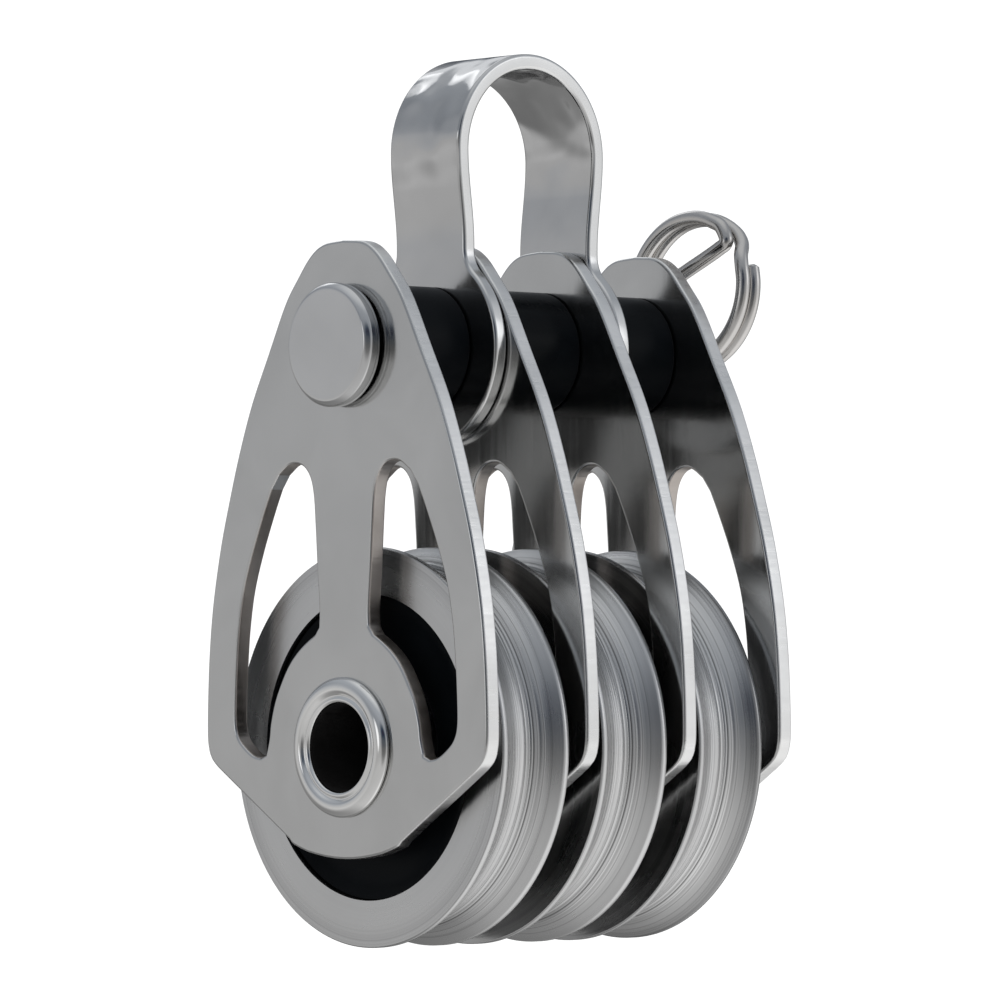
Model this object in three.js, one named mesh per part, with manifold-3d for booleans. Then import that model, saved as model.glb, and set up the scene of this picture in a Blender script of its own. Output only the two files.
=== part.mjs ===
// Triple sheave block for small rope: stamped stainless cheeks, ball-bearing
// sheaves on one hollow riveted axle, and a bent strap pinned through the cheek heads.
// Millimetres, +Z up. X is the axle direction, Y runs across the cheeks.
// The origin is the middle of the strap's inner crown, which is where the block hangs.
import * as THREE from 'three';
import { mergeVertices } from 'three/addons/utils/BufferGeometryUtils.js';
import Module from 'manifold-3d';

const wasm = await Module();
wasm.setup();

// ---------- driving dimensions ----------
const SHEAVE_R = 10;            // 20 mm sheaves
const SHEAVE_PITCH = 6.7;       // from one cheek to the next
const CHEEK_T = 0.9;
const GAP = SHEAVE_PITCH - CHEEK_T;
const PIN_ABOVE_AXLE = 20.0;
const CROWN_ABOVE_PIN = 14.2;   // to the inside of the strap's crown
const DROP_PIN = CROWN_ABOVE_PIN;
const DROP_AXLE = CROWN_ABOVE_PIN + PIN_ABOVE_AXLE;

const AXLE_R = 3.0;
const AXLE_BORE_R = 2.2;
const AXLE_HEAD_R = 3.5;
const AXLE_HEAD_T = 0.5;
const AXLE_HOLE_R = 3.08;

const PIN_R = 2.0;
const PIN_HOLE_R = 2.12;
const PIN_HEAD_R = 3.1;
const PIN_HEAD_T = 0.95;
const PIN_HEAD_GAP = 0.15;
const PIN_TAIL = 3.0;           // past the far cheek
const RING_HOLE_OUT = 1.45;     // ring hole's centre past the far cheek
const RING_HOLE_R = 1.16;
const RING_TURN = 25;           // degrees that the ring hole is turned about the pin
const RING_LEAN = 6;            // degrees that the ring leans out from the cheek

const RIM_W = 4.5;
const RIM_LIP = 0.42;
const GROOVE_BOTTOM_R = 9.0;
const RIM_BORE_R = 7.65;
const HUB_R = 7.58;
const BALL_R = 1.1905;          // 3/32 inch balls
const BALL_PITCH_R = 4.85;
const BALLS = 12;
const RACE_BORE_R = 3.08;

const SPACER_R = 3.12;
const STRAP_T = 0.8;
const STRAP_W = 5.2;
const STRAP_EYE_R = 4.9;
const STRAP_SLACK = 0.06;       // leg to cheek
const STRAP_ARCH_R = 4.65;      // centre line of the crown's bend

const WIRE_R = 0.37;
const RING_R = 3.85;            // centre line
const COIL_STEP = 0.8;          // one turn to the next, along the ring's axis

const CHEEK_X = [-1.5, -0.5, 0.5, 1.5].map((k) => k * SHEAVE_PITCH);
const GAP_X = [-1, 0, 1].map((k) => k * SHEAVE_PITCH);
const SIDES = ['left', 'middle', 'right'];
const LEG_IN = CHEEK_X[2] + CHEEK_T / 2 + STRAP_SLACK;
const LEG_OUT = LEG_IN + STRAP_T;

// ---------- helpers ----------
const V2 = (x, y) => new THREE.Vector2(x, y);

// a closed, outward-facing body with shared vertices and no collapsed triangles
function closed(geometry) {
  const g = geometry.clone();
  for (const n of ['normal', 'uv']) if (g.getAttribute(n)) g.deleteAttribute(n);
  const m = mergeVertices(g, 1e-4);
  const p = m.getAttribute('position');
  const src = m.index.array;
  const idx = [];
  for (let i = 0; i < src.length; i += 3) {
    const [a, b, c] = [src[i], src[i + 1], src[i + 2]];
    if (a !== b && b !== c && a !== c) idx.push(a, b, c);
  }
  let vol = 0;
  const A = new THREE.Vector3(), B = new THREE.Vector3(), C = new THREE.Vector3();
  for (let i = 0; i < idx.length; i += 3) {
    A.fromBufferAttribute(p, idx[i]);
    B.fromBufferAttribute(p, idx[i + 1]);
    C.fromBufferAttribute(p, idx[i + 2]);
    vol += A.dot(B.clone().cross(C));
  }
  if (vol < 0) for (let i = 0; i < idx.length; i += 3) [idx[i + 1], idx[i + 2]] = [idx[i + 2], idx[i + 1]];
  const out = new THREE.BufferGeometry();
  out.setAttribute('position', p);
  out.setIndex(idx);
  return out;
}

function toSolid(geometry) {
  const g = closed(geometry);
  return new wasm.Manifold(new wasm.Mesh({
    numProp: 3,
    vertProperties: new Float32Array(g.getAttribute('position').array),
    triVerts: new Uint32Array(g.index.array),
  }));
}

function fromSolid(solid) {
  const mesh = solid.getMesh();
  const g = new THREE.BufferGeometry();
  g.setAttribute('position', new THREE.BufferAttribute(new Float32Array(mesh.vertProperties), 3));
  g.setIndex(Array.from(mesh.triVerts));
  return g;
}

// a profile of [axial, radius] pairs turned about X
function turned(profile, segments) {
  const g = new THREE.LatheGeometry(profile.map(([x, r]) => V2(r, x)), segments);
  g.rotateZ(-Math.PI / 2);
  return closed(g);
}

// an outline in the Y-Z plane with holes, as thick as t and centred on X = x
function plate(outline, holes, x, t) {
  const shape = new THREE.Shape(outline);
  for (const h of holes) shape.holes.push(new THREE.Path(h));
  const g = new THREE.ExtrudeGeometry(shape, { depth: t, bevelEnabled: false, curveSegments: 1 });
  g.translate(0, 0, -t / 2);
  g.applyMatrix4(new THREE.Matrix4().makeBasis(
    new THREE.Vector3(0, 1, 0), new THREE.Vector3(0, 0, 1), new THREE.Vector3(1, 0, 0)));
  g.translate(x, 0, 0);
  return closed(g);
}

function circle(cy, cz, r, n, phase = 0) {
  const pts = [];
  for (let i = 0; i < n; i++) {
    const a = phase + (i / n) * 2 * Math.PI;
    pts.push(V2(cy + r * Math.cos(a), cz + r * Math.sin(a)));
  }
  return pts;
}

// a smooth open run through the points
function smooth(points, divisions) {
  return new THREE.SplineCurve(points.map(([a, b]) => V2(a, b))).getPoints(divisions);
}

const mirror = (pts) => pts.map((p) => V2(-p.x, p.y)).reverse();

// ---------- cheek plate, heights from the axle ----------
const flank = smooth([
  [10.42, -0.25], [10.54, 0.5], [10.52, 2.4], [10.38, 4.85], [10.08, 7.3], [9.5, 10.05], [8.85, 12.3],
  [8.03, 14.8], [7.03, 17.3], [5.75, 19.75], [4.45, 22.2], [3.5, 23.45], [2.5, 24.55], [1.5, 25.1], [0, 25.25],
], 18);
const foot = [V2(0, -5.55), V2(1.4, -5.47), V2(2.8, -5.24), V2(3.95, -4.86), V2(4.2, -4.62),
  V2(9.55, -1.2), V2(9.95, -0.9), V2(10.25, -0.6)];
const halfOutline = [...foot, ...flank];
const cheekOutline = [...halfOutline, ...mirror(halfOutline).slice(1, -1)];

const slotHub = smooth([[5.95, -0.4], [5.72, 0.4], [5.6, 1.2], [5.28, 2.25], [4.8, 3.2], [4.2, 4.1], [3.55, 4.75],
  [2.85, 5.25], [2.2, 5.62]], 6);
const slotSpoke = smooth([[1.9, 6.0], [1.88, 7.0], [2.03, 9.0], [2.16, 11.0], [2.3, 12.6], [2.6, 13.55], [3.2, 14.1],
  [4.1, 14.15], [4.95, 13.65]], 9);
const slotOuter = smooth([[5.5, 12.95], [6.1, 11.75], [6.95, 9.85], [7.65, 7.9], [8.02, 6.0], [8.2, 4.2], [8.3, 2.4],
  [8.3, 1.1], [8.05, 0.4], [7.5, -0.1], [6.9, -0.45], [6.35, -0.56]], 10);
const slot = [...slotHub, ...slotSpoke, ...slotOuter];

function cheek(x) {
  return plate(cheekOutline, [
    slot, mirror(slot), circle(0, 0, AXLE_HOLE_R, 24), circle(0, PIN_ABOVE_AXLE, PIN_HOLE_R, 20),
  ], x, CHEEK_T);
}

// ---------- axle: hollow rivet, both ends rolled over the outer cheeks ----------
function axleTube() {
  const face = CHEEK_X[3] + CHEEK_T / 2 + 0.03;
  const end = face + AXLE_HEAD_T;
  const half = [
    [end - 0.4, AXLE_BORE_R], [end, AXLE_BORE_R + 0.3], [end, AXLE_HEAD_R - 0.35], [face + 0.15, AXLE_HEAD_R],
    [face, AXLE_HEAD_R - 0.05], [face, AXLE_R],
  ];
  const other = half.map(([x, r]) => [-x, r]).reverse();
  return turned([...half, ...other, half[0]], 24);
}

// ---------- sheaves ----------
function rim(x) {
  const w = RIM_W / 2;
  const profile = [[-w, RIM_BORE_R], [-w, SHEAVE_R]];
  const groove = w - RIM_LIP;
  for (let i = -3; i <= 3; i++) {
    const s = i / 3;
    profile.push([s * groove, GROOVE_BOTTOM_R + (SHEAVE_R - GROOVE_BOTTOM_R) * Math.pow(Math.abs(s), 2.1)]);
  }
  profile.push([w, SHEAVE_R], [w, RIM_BORE_R], [-w, RIM_BORE_R]);
  const g = turned(profile, 32);
  g.translate(x, 0, 0);
  return g;
}

function hub(x) {
  const bore = BALL_PITCH_R + BALL_R + 0.06;
  // each side closes over the balls with a thin shield
  const profile = [
    [-1.95, HUB_R], [-1.58, HUB_R - 0.9], [-1.56, 4.4], [-1.3, 4.4], [-1.3, 5.62], [-1.0, 5.62], [-0.42, bore], [0.42, bore],
    [1.0, 5.62], [1.3, 5.62], [1.3, 4.4], [1.56, 4.4], [1.58, HUB_R - 0.9], [1.95, HUB_R], [-1.95, HUB_R],
  ];
  const g = turned(profile, 32);
  g.translate(x, 0, 0);
  return g;
}

function innerRace(x) {
  const w = GAP / 2 - 0.04;
  const bottom = BALL_PITCH_R - BALL_R - 0.05;
  const profile = [
    [-w, RACE_BORE_R], [-w, 4.1], [-1.0, 4.1], [-0.42, bottom], [0.42, bottom], [1.0, 4.1], [w, 4.1], [w, RACE_BORE_R],
    [-w, RACE_BORE_R],
  ];
  const g = turned(profile, 24);
  g.translate(x, 0, 0);
  return g;
}

function ball(x, i) {
  const g = new THREE.SphereGeometry(BALL_R, 8, 5);
  const a = (i / BALLS) * 2 * Math.PI;
  g.translate(x, BALL_PITCH_R * Math.cos(a), BALL_PITCH_R * Math.sin(a));
  return closed(g);
}

// ---------- spacer tubes round the clevis pin, between the cheek heads ----------
function headSpacer(k) {
  const face = GAP / 2 - 0.06;
  const lo = k === 2 ? LEG_OUT + 0.06 : GAP_X[k] - face;
  const hi = k === 0 ? -LEG_OUT - 0.06 : GAP_X[k] + face;
  const g = turned([
    [lo, PIN_HOLE_R], [lo, SPACER_R], [hi, SPACER_R], [hi, PIN_HOLE_R], [lo, PIN_HOLE_R],
  ], 20);
  g.translate(0, 0, PIN_ABOVE_AXLE);
  return g;
}

// ---------- strap: flat strip bent to a U, with an eye at each end; heights from the pin ----------
function strap() {
  const archZ = CROWN_ABOVE_PIN + STRAP_T / 2 - STRAP_ARCH_R;
  const legX = LEG_IN + STRAP_T / 2;
  // centre line in X-Z, from the foot of the right leg over the crown
  const line = [V2(legX, -6), V2(legX, 5.2), V2(legX + 0.06, 6.4), V2((legX + STRAP_ARCH_R) / 2, 7.7)];
  for (let i = 0; i <= 11; i++) {
    const a = (i / 11) * (Math.PI / 2);
    line.push(V2(STRAP_ARCH_R * Math.cos(a), archZ + STRAP_ARCH_R * Math.sin(a)));
  }
  const full = [...line, ...mirror(line).slice(1)];
  const inner = [], outer = [];
  for (let i = 0; i < full.length; i++) {
    const p = full[Math.max(i - 1, 0)], q = full[Math.min(i + 1, full.length - 1)];
    const d = q.clone().sub(p).normalize();
    const n = V2(d.y, -d.x).multiplyScalar(STRAP_T / 2);
    outer.push(full[i].clone().add(n));
    inner.push(full[i].clone().sub(n));
  }
  const u = new THREE.Shape([...outer, ...inner.reverse()]);
  const band = new THREE.ExtrudeGeometry(u, { depth: 14, bevelEnabled: false, curveSegments: 1 });
  band.translate(0, 0, -7);
  band.applyMatrix4(new THREE.Matrix4().makeBasis(
    new THREE.Vector3(1, 0, 0), new THREE.Vector3(0, 0, 1), new THREE.Vector3(0, -1, 0)));

  // side outline in Y-Z: the eye, a fillet, then the straight strip
  const w = STRAP_W / 2;
  const fillet = 1.6;
  const fz = Math.sqrt((STRAP_EYE_R + fillet) ** 2 - (w + fillet) ** 2);
  const touch = Math.atan2(fz, w + fillet);
  const side = [];
  for (let i = 0; i <= 14; i++) {
    const a = -Math.PI / 2 + (i / 14) * (touch + Math.PI / 2);
    side.push(V2(STRAP_EYE_R * Math.cos(a), STRAP_EYE_R * Math.sin(a)));
  }
  for (let i = 1; i <= 4; i++) {
    const a = Math.PI + touch - (i / 4) * touch;
    side.push(V2(w + fillet + fillet * Math.cos(a), fz + fillet * Math.sin(a)));
  }
  side.push(V2(w, 20));
  const outline = [...side, ...mirror(side).slice(0, -1)];
  const blank = plate(outline, [circle(0, 0, PIN_HOLE_R, 20)], 0, 16);
  return closed(fromSolid(toSolid(band).intersect(toSolid(blank))));
}

// ---------- clevis pin, heights from the pin ----------
const PIN_HEAD_X = CHEEK_X[0] - CHEEK_T / 2 - PIN_HEAD_GAP;
const PIN_END_X = CHEEK_X[3] + CHEEK_T / 2 + PIN_TAIL;
const RING_HOLE_X = CHEEK_X[3] + CHEEK_T / 2 + RING_HOLE_OUT;

function clevisPin() {
  const h = PIN_HEAD_X, o = PIN_HEAD_X - PIN_HEAD_T;
  const body = turned([
    [o, 0], [o, PIN_HEAD_R - 0.28], [o + 0.25, PIN_HEAD_R], [h - 0.2, PIN_HEAD_R], [h, PIN_HEAD_R - 0.2], [h, PIN_R],
    [PIN_END_X - 0.35, PIN_R], [PIN_END_X, PIN_R - 0.35], [PIN_END_X, 0],
  ], 20);
  const drill = new THREE.CylinderGeometry(RING_HOLE_R, RING_HOLE_R, 6, 18);
  drill.rotateX(THREE.MathUtils.degToRad(RING_TURN));
  drill.translate(RING_HOLE_X, 0, 0);
  return closed(fromSolid(toSolid(body).subtract(toSolid(drill))));
}

// ---------- split ring: about two turns of wire with a straight tail; heights from the pin ----------
class RingPath extends THREE.Curve {
  constructor(points) {
    super();
    this.points = points;
    this.spline = new THREE.CatmullRomCurve3(points, false, 'centripetal');
  }

  getPoint(t, target = new THREE.Vector3()) {
    return this.spline.getPoint(t, target);
  }
}

function ringPoints() {
  // in the ring's own plane: Y along the hole, Z away from it, so the hole lies at 270 degrees
  const sag = 0.02;                    // how far the wire's middle sits past the hole's axis
  const turns = 697, tailAt = 114.6;
  // the tail, from its free end to where it meets the coil
  const pts = [[1.65, -0.4], [1.1, 0.28], [0.42, 1.12], [-0.35, 2.05], [-0.92, 2.78], [-1.2, 3.3]]
    .map(([y, z]) => new THREE.Vector3(-COIL_STEP / 2, y, z));
  for (let s = 17; s <= turns; s += 10) {
    const jog = THREE.MathUtils.smoothstep(s, 339, 366) - 0.5;
    const a = THREE.MathUtils.degToRad(tailAt - s);
    pts.push(new THREE.Vector3(jog * COIL_STEP, RING_R * Math.cos(a), RING_R * Math.sin(a)));
  }
  const m = new THREE.Matrix4().makeRotationX(THREE.MathUtils.degToRad(RING_TURN))
    .multiply(new THREE.Matrix4().makeRotationY(THREE.MathUtils.degToRad(RING_LEAN)));
  return pts.map((p) => {
    p.z += RING_R - sag;
    p.applyMatrix4(m);
    p.x += RING_HOLE_X;
    return p;
  });
}

function splitRing() {
  const pts = ringPoints();
  const section = new THREE.Shape(circle(0, 0, WIRE_R, 6));
  const g = new THREE.ExtrudeGeometry(section, { steps: 76, bevelEnabled: false, curveSegments: 1, extrudePath: new RingPath(pts) });
  return closed(g);
}

// ---------- scene graph ----------
const steel = new THREE.MeshStandardMaterial({ color: 0xc9ccce, roughness: 0.16, metalness: 1 });
const edgeSteel = new THREE.MeshStandardMaterial({ color: 0xb9bcbe, roughness: 0.24, metalness: 1 });
const turnedAlloy = new THREE.MeshStandardMaterial({ color: 0xb4b6b6, roughness: 0.34, metalness: 1 });
const wireSteel = new THREE.MeshStandardMaterial({ color: 0xa9abad, roughness: 0.3, metalness: 1 });
const blackHub = new THREE.MeshStandardMaterial({ color: 0x121213, roughness: 0.45, metalness: 0 });
const blackSpacer = new THREE.MeshStandardMaterial({ color: 0x0c0c0d, roughness: 0.3, metalness: 0 });
const ballSteel = new THREE.MeshStandardMaterial({ color: 0xd2d4d6, roughness: 0.08, metalness: 1 });

const block = new THREE.Group();
const atAxle = new THREE.Group();
atAxle.position.z = -DROP_AXLE;
const atPin = new THREE.Group();
atPin.position.z = -DROP_PIN;
block.add(atAxle, atPin);

function add(parent, name, geometry, material) {
  const mesh = new THREE.Mesh(geometry, material);
  mesh.name = name;
  parent.add(mesh);
}

['cheek_outer_left', 'cheek_inner_left', 'cheek_inner_right', 'cheek_outer_right']
  .forEach((name, k) => add(atAxle, name, cheek(CHEEK_X[k]), steel));
add(atAxle, 'axle_tube', axleTube(), edgeSteel);
SIDES.forEach((side, k) => {
  add(atAxle, `inner_race_${side}`, innerRace(GAP_X[k]), edgeSteel);
  add(atAxle, `sheave_rim_${side}`, rim(GAP_X[k]), turnedAlloy);
  add(atAxle, `sheave_hub_${side}`, hub(GAP_X[k]), blackHub);
  for (let i = 0; i < BALLS; i++) add(atAxle, `ball_${side}_${String(i + 1).padStart(2, '0')}`, ball(GAP_X[k], i), ballSteel);
  add(atAxle, `head_spacer_${side}`, headSpacer(k), blackSpacer);
});
add(atPin, 'strap', strap(), edgeSteel);
add(atPin, 'clevis_pin', clevisPin(), edgeSteel);
add(atPin, 'split_ring', splitRing(), wireSteel);

export default block;
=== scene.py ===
import math

import bmesh
import bpy
from mathutils import Matrix, Vector


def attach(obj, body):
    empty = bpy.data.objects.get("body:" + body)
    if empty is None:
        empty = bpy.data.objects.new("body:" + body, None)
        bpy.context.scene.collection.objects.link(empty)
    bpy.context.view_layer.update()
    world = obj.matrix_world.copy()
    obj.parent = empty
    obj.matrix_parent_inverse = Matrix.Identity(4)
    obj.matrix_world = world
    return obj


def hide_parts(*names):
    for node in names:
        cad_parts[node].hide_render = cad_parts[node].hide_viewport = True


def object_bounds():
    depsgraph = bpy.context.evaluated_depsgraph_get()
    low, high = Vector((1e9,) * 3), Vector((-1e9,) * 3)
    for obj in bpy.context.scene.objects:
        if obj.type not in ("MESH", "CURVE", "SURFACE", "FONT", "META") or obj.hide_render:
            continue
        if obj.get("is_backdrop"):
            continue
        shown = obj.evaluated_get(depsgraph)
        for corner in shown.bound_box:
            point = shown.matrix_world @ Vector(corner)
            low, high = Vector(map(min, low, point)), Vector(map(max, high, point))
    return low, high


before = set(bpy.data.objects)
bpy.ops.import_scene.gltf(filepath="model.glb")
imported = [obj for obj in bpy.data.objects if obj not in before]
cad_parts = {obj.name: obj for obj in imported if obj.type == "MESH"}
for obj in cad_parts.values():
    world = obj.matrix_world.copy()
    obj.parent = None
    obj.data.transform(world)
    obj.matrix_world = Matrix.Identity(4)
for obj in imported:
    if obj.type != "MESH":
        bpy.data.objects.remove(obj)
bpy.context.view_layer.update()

MM = 0.001
PITCH, T = 6.7, 0.9
GAP = PITCH - T
PIN_Z, AXLE_Z = -14.2, -34.2
CHEEK_X = [-10.05, -3.35, 3.35, 10.05]
GAP_X = [-6.7, 0.0, 6.7]
SIDES = ["left", "middle", "right"]
PIN_HOLE_R = 2.12


# ------------------------------------------------------------------ materials
def nodes_of(name):
    mat = bpy.data.materials.new(name)
    mat.use_nodes = True
    nt = mat.node_tree
    bsdf = next(n for n in nt.nodes if n.type == "BSDF_PRINCIPLED")
    return mat, nt, bsdf


def add(nt, kind, **values):
    n = nt.nodes.new(kind)
    for k, v in values.items():
        if k.startswith("in_"):
            key = k[3:]
            n.inputs[int(key) if key.isdigit() else key].default_value = v
        else:
            setattr(n, k, v)
    return n


def ramp(nt, fac, stops, mode="LINEAR"):
    n = nt.nodes.new("ShaderNodeValToRGB")
    n.color_ramp.interpolation = mode
    els = n.color_ramp.elements
    while len(els) > 1:
        els.remove(els[-1])
    els[0].position = stops[0][0]
    els[0].color = stops[0][1]
    for p, c in stops[1:]:
        e = els.new(p)
        e.color = c
    nt.links.new(fac, n.inputs["Fac"])
    return n


def grey(v):
    return (v, v, v, 1)


def coords(nt, scale, rotation=(0, 0, 0)):
    tc = nt.nodes.new("ShaderNodeTexCoord")
    mp = add(nt, "ShaderNodeMapping")
    mp.inputs["Scale"].default_value = scale
    mp.inputs["Rotation"].default_value = rotation
    nt.links.new(tc.outputs["Object"], mp.inputs["Vector"])
    return mp.outputs["Vector"]


def noise(nt, vec, scale, detail=3.0, rough=0.55, distortion=0.0):
    n = add(nt, "ShaderNodeTexNoise")
    n.inputs["Scale"].default_value = scale
    n.inputs["Detail"].default_value = detail
    n.inputs["Roughness"].default_value = rough
    n.inputs["Distortion"].default_value = distortion
    nt.links.new(vec, n.inputs["Vector"])
    return n.outputs["Fac"]


def rough_from(nt, bsdf, fac, lo, hi, a=0.3, b=0.7):
    m = add(nt, "ShaderNodeMapRange")
    m.inputs["From Min"].default_value = a
    m.inputs["From Max"].default_value = b
    m.inputs["To Min"].default_value = lo
    m.inputs["To Max"].default_value = hi
    nt.links.new(fac, m.inputs["Value"])
    nt.links.new(m.outputs["Result"], bsdf.inputs["Roughness"])


def bump_from(nt, bsdf, height, strength, distance, chain=None):
    b = add(nt, "ShaderNodeBump")
    b.inputs["Strength"].default_value = strength
    b.inputs["Distance"].default_value = distance
    nt.links.new(height, b.inputs["Height"])
    if chain is not None:
        nt.links.new(chain, b.inputs["Normal"])
    nt.links.new(b.outputs["Normal"], bsdf.inputs["Normal"])
    return b.outputs["Normal"]


def steel(name, tone, lo, hi, grain=(1, 1, 1), grain_scale=2600, bump=0.05, warm=0.0, blotch=0.03, wave=0.0, wave_scale=260, wave_above=None):
    """Metal with a grain stretched along one axis, faint blotches, and handling marks in the gloss."""
    mat, nt, bsdf = nodes_of(name)
    bsdf.inputs["Metallic"].default_value = 1.0
    fine = noise(nt, coords(nt, grain), grain_scale, 2.0, 0.6)
    soft = noise(nt, coords(nt, (1, 1, 1)), 170, 3.0, 0.6, 0.4)
    r, g, b = tone[0] * (1 + warm), tone[1], tone[2] * (1 - warm)
    dark = tuple(max(0.0, c - blotch) for c in (r, g, b)) + (1,)
    light = tuple(min(1.0, c + blotch) for c in (r, g, b)) + (1,)
    col = ramp(nt, soft, [(0.3, dark), (0.7, light)])
    nt.links.new(col.outputs["Color"], bsdf.inputs["Base Color"])
    mix = add(nt, "ShaderNodeMath", operation="MULTIPLY")
    nt.links.new(fine, mix.inputs[0])
    nt.links.new(soft, mix.inputs[1])
    rough_from(nt, bsdf, mix.outputs["Value"], lo, hi, 0.1, 0.45)
    under = None
    if wave:
        slow = noise(nt, coords(nt, (1, 1, 1)), wave_scale, 1.0, 0.4)
        if wave_above is not None:
            # the waves fade out below this height
            hc = nt.nodes.new("ShaderNodeTexCoord")
            hs = add(nt, "ShaderNodeSeparateXYZ")
            nt.links.new(hc.outputs["Object"], hs.inputs["Vector"])
            hm = add(nt, "ShaderNodeMapRange", interpolation_type="SMOOTHSTEP")
            hm.inputs["From Min"].default_value = (wave_above - 3.0) * MM
            hm.inputs["From Max"].default_value = wave_above * MM
            hm.inputs["To Min"].default_value = 0.12
            nt.links.new(hs.outputs["Z"], hm.inputs["Value"])
            part = add(nt, "ShaderNodeMath", operation="MULTIPLY")
            nt.links.new(slow, part.inputs[0])
            nt.links.new(hm.outputs["Result"], part.inputs[1])
            slow = part.outputs["Value"]
        under = bump_from(nt, bsdf, slow, 1.0, wave * MM)
    bump_from(nt, bsdf, fine, bump, 0.00002, under)
    return mat


def turned_metal(name, tone, lo, hi, bump, deep=0.8, scores=()):
    """Concentric turning marks about X: everything depends only on the axial place and the radius."""
    mat, nt, bsdf = nodes_of(name)
    bsdf.inputs["Metallic"].default_value = 1.0
    bsdf.inputs["Anisotropic"].default_value = 0.55
    tc = nt.nodes.new("ShaderNodeTexCoord")
    sep = add(nt, "ShaderNodeSeparateXYZ")
    nt.links.new(tc.outputs["Object"], sep.inputs["Vector"])
    zc = add(nt, "ShaderNodeMath", operation="SUBTRACT")
    zc.inputs[1].default_value = AXLE_Z * MM
    nt.links.new(sep.outputs["Z"], zc.inputs[0])
    yy = add(nt, "ShaderNodeMath", operation="MULTIPLY")
    nt.links.new(sep.outputs["Y"], yy.inputs[0])
    nt.links.new(sep.outputs["Y"], yy.inputs[1])
    zz = add(nt, "ShaderNodeMath", operation="MULTIPLY_ADD")
    nt.links.new(zc.outputs["Value"], zz.inputs[0])
    nt.links.new(zc.outputs["Value"], zz.inputs[1])
    nt.links.new(yy.outputs["Value"], zz.inputs[2])
    rad = add(nt, "ShaderNodeMath", operation="SQRT")
    nt.links.new(zz.outputs["Value"], rad.inputs[0])
    vec = add(nt, "ShaderNodeCombineXYZ")
    nt.links.new(sep.outputs["X"], vec.inputs["X"])
    small = add(nt, "ShaderNodeMath", operation="MULTIPLY")
    small.inputs[1].default_value = 0.3
    nt.links.new(rad.outputs["Value"], small.inputs[0])
    nt.links.new(small.outputs["Value"], vec.inputs["Y"])
    lines = noise(nt, vec.outputs["Vector"], 2600, 4.0, 0.75)
    bands = noise(nt, vec.outputs["Vector"], 900, 2.0, 0.5)
    soft = noise(nt, coords(nt, (1, 1, 1)), 220, 2.0, 0.5)
    both = add(nt, "ShaderNodeMath", operation="MULTIPLY_ADD")
    both.inputs[1].default_value = 0.6
    nt.links.new(bands, both.inputs[0])
    half = add(nt, "ShaderNodeMath", operation="MULTIPLY")
    half.inputs[1].default_value = 0.4
    nt.links.new(lines, half.inputs[0])
    nt.links.new(half.outputs["Value"], both.inputs[2])
    t = tone
    col = ramp(nt, both.outputs["Value"], [(0.34, (t * deep, t * deep, t * deep * 1.02, 1)), (0.46, (t, t, t, 1)),
                                           (0.64, (min(1, t * 1.15),) * 3 + (1,))])
    if scores:
        # the place across one sheave, from 0 at its left lip to 1 at its right lip
        wrap = add(nt, "ShaderNodeMath", operation="WRAP")
        wrap.inputs[1].default_value = PITCH * MM / 2
        wrap.inputs[2].default_value = -PITCH * MM / 2
        nt.links.new(sep.outputs["X"], wrap.inputs[0])
        across = add(nt, "ShaderNodeMapRange")
        across.inputs["From Min"].default_value = -1.83 * MM
        across.inputs["From Max"].default_value = 1.83 * MM
        nt.links.new(wrap.outputs["Value"], across.inputs["Value"])
        stops = [(0.0, grey(1.0))]
        for at, dark, wide in scores:
            c = (at + 1) / 2
            stops += [(c - wide, grey(1.0)), (c, grey(dark)), (c + wide, grey(1.0))]
        mask = ramp(nt, across.outputs["Result"], stops + [(1.0, grey(1.0))])
        mul = add(nt, "ShaderNodeMix", data_type="RGBA", blend_type="MULTIPLY")
        mul.inputs["Factor"].default_value = 1.0
        nt.links.new(col.outputs["Color"], mul.inputs["A"])
        nt.links.new(mask.outputs["Color"], mul.inputs["B"])
        nt.links.new(mul.outputs["Result"], bsdf.inputs["Base Color"])
    else:
        nt.links.new(col.outputs["Color"], bsdf.inputs["Base Color"])
    m = add(nt, "ShaderNodeMath", operation="MULTIPLY_ADD")
    m.inputs[1].default_value = 0.5
    nt.links.new(soft, m.inputs[0])
    nt.links.new(both.outputs["Value"], m.inputs[2])
    rough_from(nt, bsdf, m.outputs["Value"], lo, hi, 0.55, 0.95)
    bump_from(nt, bsdf, both.outputs["Value"], bump, 0.00006)
    tang = add(nt, "ShaderNodeTangent", direction_type="RADIAL", axis="X")
    nt.links.new(tang.outputs["Tangent"], bsdf.inputs["Tangent"])
    return mat


def polymer(name, tone, lo, hi, bump, scale=1500, turned=False):
    mat, nt, bsdf = nodes_of(name)
    bsdf.inputs["IOR"].default_value = 1.4
    bsdf.inputs["Specular IOR Level"].default_value = 0.07
    vec = coords(nt, (6, 1, 1) if turned else (1, 1, 1))
    fine = noise(nt, vec, scale, 3.0, 0.6)
    soft = noise(nt, coords(nt, (1, 1, 1)), 260, 3.0, 0.6)
    col = ramp(nt, soft, [(0.3, (tone * 0.6, tone * 0.8, tone, 1)), (0.7, (tone * 1.1, tone * 1.4, tone * 1.8, 1))])
    nt.links.new(col.outputs["Color"], bsdf.inputs["Base Color"])
    rough_from(nt, bsdf, soft, lo, hi)
    bump_from(nt, bsdf, fine, bump, 0.00002)
    return mat


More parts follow.
